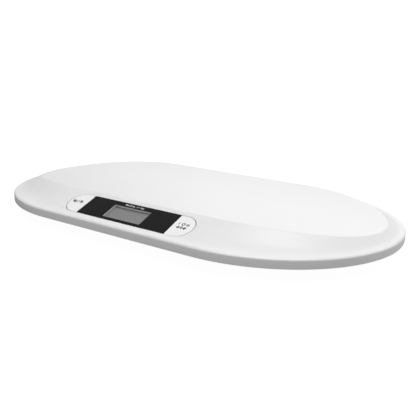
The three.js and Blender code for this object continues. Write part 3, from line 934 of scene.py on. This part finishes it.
def feet():
    cap_material, pad_material = white_base(), rubber()
    for name in FEET:
        centre = node_middle("foot_pad_" + name)
        spot = (centre.x, centre.y, 0)
        cap = turned("foot_cap_shell_" + name, foot_cap_profile(), spot, cap_material)
        stand_for(cap, "foot_" + name, "base_white", "foot_cap_" + name)
        pad = turned("foot_pad_tread_" + name, foot_pad_profile(), spot, pad_material, 64, 25.0)
        stand_for(pad, "foot_" + name, "rubber_grey", "foot_pad_" + name)


def door_loop():
    """The door's outline: its front edge has the latch tongue, with a slot on each side."""
    width, length = DOOR_OPENING
    clear = 0.3
    edge, back = BAY_Y - length / 2 + clear, BAY_Y + length / 2 - clear
    half_width, tongue = width / 2 - clear, 5.8
    slot_out, slot_in, slot_end, tip = 7.8, 6.6, edge + 12.7, edge - 1.2
    loop = [(half_width, edge), (half_width, back), (-half_width, back), (-half_width, edge)]
    loop += [(-slot_out, edge), (-slot_out, slot_end), (-slot_in, slot_end), (-slot_in, edge)]
    loop += [(-tongue, edge), (-tongue, tip), (tongue, tip), (tongue, edge)]
    loop += [(slot_in, edge), (slot_in, slot_end), (slot_out, slot_end), (slot_out, edge)]
    return loop


def door_tabs(top, material):
    """The two hooked tabs at the door's rear edge that it swings on."""
    hinge_y, tab_low, tab_top = BAY_Y + DOOR_OPENING[1] / 2, 7.4, 8.6
    tabs = []
    for side in (-1, 1):
        riser = box_loop(7, 2.4, side * DOOR_TAB_X, hinge_y - 1.8, 0.3)
        hook = box_loop(7, 5.3, side * DOOR_TAB_X, hinge_y + 0.15, 0.3)
        tabs.append(plate("riser", riser, [], top - 1, tab_top, 0.1, LEVEL, material))
        tabs.append(plate("tab", hook, [], tab_low, tab_top, 0.1, LEVEL, material))
    return tabs


def door_grips(bottom, material):
    """Cutters for the four finger grooves behind the latch."""
    first, pitch, low, high = BAY_Y - DOOR_OPENING[1] / 2 + 3, 1.9, bottom - 1, bottom + 0.45
    lines = [box_loop(8, 0.9, 0, first + pitch * i, 0.4) for i in range(4)]
    return [plate("grip", line, [], low, high, 0.01, LEVEL, material, 1) for line in lines]


def battery_door():
    material = white_base()
    bottom, top = BASE_BOTTOM, BASE_BOTTOM + BASE_FLOOR - 0.3
    door = plate("door", door_loop(), [], bottom, top, 0.25, LEVEL, material)
    combine(door, door_tabs(top, material), "UNION")
    combine(door, door_grips(bottom, material))
    door.name = "battery_door_panel"
    stand_for(door, "door", "base_white", "battery_door")


# ------------------------------------------------------------------ battery bay
def cell_profile(reach):
    """An AAA cell, 2 x reach long: the rolled jacket, then the bare shoulder and the button."""
    jacket, shoulder, button, steel = 5.15, 4.2, 1.95, 4.9
    outline = [(0, -reach), (3.6, -reach), (3.8, -reach + 0.3), (steel, -reach + 0.3),
               (jacket, -reach + 0.8), (jacket, reach - 2.2), (4.8, reach - 1.2),
               (shoulder, reach - 1.0), (button, reach - 1.0), (button, reach - 0.1), (0, reach)]
    return rounded(outline, 0.25, 2)


def batteries():
    jacket = wire_cover("battery_jacket", (0.05, 0.17, 0.33))
    steel = metal("cell_steel", (0.7, 0.71, 0.72), 0.3)
    bare_radius = 4.6
    for number in (1, 2, 3):
        low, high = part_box(f"battery_{number}")
        profile = cell_profile((high.y - low.y) / MM / 2)
        cell = turned(f"aaa_cell_{number}", profile, (0, 0, 0), jacket)
        cell.data.materials.append(steel)
        for face in cell.data.polygons:
            middle = face.center / MM
            if math.hypot(middle.x, middle.y) < bare_radius:
                face.material_index = 1
        flip = 1 if number == 2 else -1
        turn = Matrix.Rotation(flip * math.pi / 2, 4, "X")
        cell.data.transform(Matrix.Translation((low + high) / 2) @ turn)
        stand_for(cell, "casing", "battery_jacket", f"battery_{number}")


def contact_spring(start, end, material):
    """A spring of three turns that narrows towards the cell."""
    turns, steps = 3, 72
    wide, narrowing, first, length = 3.2, 1.4, 0.3, 2.6
    points = []
    for i in range(steps + 1):
        share = i / steps
        angle = 2 * math.pi * turns * share
        radius = wide - narrowing * share
        along = -end * (first + length * share)
        offset = Vector((radius * math.cos(angle), along, radius * math.sin(angle)))
        points.append(start + offset * MM)
    return wire("spring", points, 0.3, material)


def contact_dimple(start, end, material):
    """A pressed dimple that meets the cell's button."""
    dome = [(0, -0.3), (2.6, -0.3), (2.6, 0.2), (1.4, 2.0), (0.6, 2.3), (0, 2.3)]
    dimple = turned("dimple", rounded(dome, 0.4), (0, 0, 0), material, 32)
    turn = Matrix.Rotation(end * math.pi / 2, 4, "X")
    dimple.data.transform(Matrix.Translation(start) @ turn)
    return dimple


def contact(node, terminals, end):
    """A contact strip with a spring or a dimple at each terminal."""
    material = metal(node + "_nickel", (0.78, 0.79, 0.8), 0.22)
    low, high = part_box(node)
    wall = high.y if end > 0 else low.y
    half_thick = 0.3
    turn = Matrix.Rotation(math.pi / 2, 4, "X")
    loop = box_loop((high.x - low.x) / MM, 7.5, 0, 0, 1.2)
    middle = Vector(((low.x + high.x) / 2, wall - end * half_thick * MM, STRIP_Z * MM))
    place = Matrix.Translation(middle) @ turn
    parts = [plate("strip", loop, [], -half_thick, half_thick, 0.1, place, material)]
    for x, shape in terminals:
        start = Vector((x * MM, wall - end * 2 * half_thick * MM, TERMINAL_Z * MM))
        parts.append(shape(start, end, material))
    piece = merge(node + "_formed", parts, material)
    stand_for(piece, "casing", "contact_metal", node)


def battery_bay():
    batteries()
    left, right = -CELL_PITCH, CELL_PITCH
    spring, dimple = contact_spring, contact_dimple
    contact("contact_positive", [(left, dimple)], 1)
    contact("contact_negative", [(right, spring)], -1)
    contact("contact_bridge_front", [(left, spring), (0, dimple)], -1)
    contact("contact_bridge_rear", [(0, spring), (right, dimple)], 1)


# ------------------------------------------------------------------ carried CAD nodes
def dress(material, *names):
    """Gives CAD nodes that are kept a material and sharp edges."""
    for name in names:
        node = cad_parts[name]
        node.data.materials.clear()
        node.data.materials.append(material)
        node.data.set_sharp_from_angle(angle=math.radians(30))


def dress_inside():
    steel = metal("cell_plate_steel", (0.55, 0.56, 0.57), 0.35)
    dress(steel, *["load_cell_" + name for name in FEET])
    dress(gauge_resin(), *["strain_gauge_" + name for name in FEET])
    dress(wire_cover("lead_grey", (0.28, 0.28, 0.29)), *["cell_lead_" + name for name in FEET])
    zinc = metal("board_screw_zinc", (0.6, 0.6, 0.6), 0.3)
    dress(zinc, *[f"board_screw_{i}" for i in range(1, 5)])
    dress(solder_mask(), "main_board")
    dress(black_plastic(), "controller_chip", "unit_switch", "power_switch")
    dress(rubber(), "zebra_strip", "unit_plunger", "power_plunger")
    dress(pale_frame(), "lcd_holder")
    dress(wire_cover("lead_red", (0.45, 0.03, 0.02)), "battery_lead_positive")
    dress(wire_cover("lead_black", (0.02, 0.02, 0.02)), "battery_lead_negative")


# ------------------------------------------------------------------ camera, light and floor
def facing(azimuth, elevation):
    """The unit vector towards an azimuth (0 is the front, 90 the right) and an elevation."""
    a, e = math.radians(azimuth), math.radians(elevation)
    return math.sin(a) * math.cos(e), -math.cos(a) * math.cos(e), math.sin(e)


def add_camera():
    """The photo's camera: angles in degrees, distance and target in metres, lens in mm."""
    azimuth, elevation, roll = 33.46, 14.9, 2.12
    distance, lens = 0.770, 49.3
    target = Vector((0.0162, 0.0071, 0.0161))
    back = Vector(facing(azimuth, elevation))
    data = bpy.data.cameras.new("camera")
    data.lens = lens
    camera = put_in_scene("camera", data)
    camera.rotation_mode = "QUATERNION"
    camera.location = target + back * distance
    aim = back.to_track_quat("Z", "Y").to_matrix().to_4x4()
    turn = aim @ Matrix.Rotation(math.radians(roll), 4, "Z")
    camera.rotation_quaternion = turn.to_quaternion()
    bpy.context.scene.camera = camera


# Soft boxes of the studio: azimuth, elevation, half angle of the glow, brightness in its middle.
SOFT_BOXES = {
    "overhead": (0, 90, 25, 6.0),
    "overhead_wide": (0, 90, 45, 0.5),
    "front": (0, 0, 90, 0.4),
    "right": (90, 0, 90, 0.25),
    "back": (180, 0, 90, 0.6),
    "left": (270, 0, 90, 0.1),
    "rear_high": (200, 25, 30, 0.6),
}
STUDIO_FILL = 0.02


def add_world():
    """A dim even fill with a few soft boxes, as glows round their directions."""
    world = bpy.data.worlds.new("studio")
    bpy.context.scene.world = world
    world.use_nodes = True
    tree = world.node_tree
    place = tree.nodes.new("ShaderNodeTexCoord").outputs["Generated"]
    total = None
    for name, (azimuth, elevation, half_angle, brightness) in SOFT_BOXES.items():
        nearness = tree.nodes.new("ShaderNodeVectorMath")
        nearness.operation = "DOT_PRODUCT"
        nearness.inputs[1].default_value = facing(azimuth, elevation)
        tree.links.new(place, nearness.inputs[0])
        glow = tree.nodes.new("ShaderNodeMapRange")
        glow.name = name
        glow.inputs["From Min"].default_value = math.cos(math.radians(half_angle))
        glow.inputs["To Max"].default_value = brightness
        tree.links.new(nearness.outputs["Value"], glow.inputs["Value"])
        add = tree.nodes.new("ShaderNodeMath")
        add.inputs[0].default_value = STUDIO_FILL
        if total:
            tree.links.new(total, add.inputs[0])
        tree.links.new(glow.outputs["Result"], add.inputs[1])
        total = add.outputs["Value"]
    background = tree.nodes["Background"]
    background.inputs["Color"].default_value = (1, 1, 1, 1)
    tree.links.new(total, background.inputs["Strength"])


def add_stage():
    """A pale floor that curves up into a wall all round, so every view has the same ground."""
    reach, height, bend = 2600, 1800, 900.0
    profile = rounded([(0, 0), (reach, 0), (reach, height)], bend, 24)
    stage = turned("studio_floor", profile, (0, 0, 0), stage_material(), 96, 60.0)
    stage.visible_diffuse = False
    stage.visible_glossy = False
    stage.visible_shadow = False


def stage_material():
    made = Nodes("studio_white")
    made.set(Base_Color=(0.4, 0.4, 0.4, 1), Roughness=0.9, Emission_Color=(1, 1, 1, 1),
             Emission_Strength=0.88, Specular_IOR_Level=0.0)
    return made.material


add_camera()
tray_shell()
display_window()
display_frame()
lcd()
key_material = white_key()
key("unit", -1, key_material)
key("power", 1, key_material)
marks()
base_cover()
base_screws()
feet()
battery_door()
battery_bay()
dress_inside()
add_world()
add_stage()
bpy.context.scene.view_settings.view_transform = "Standard"
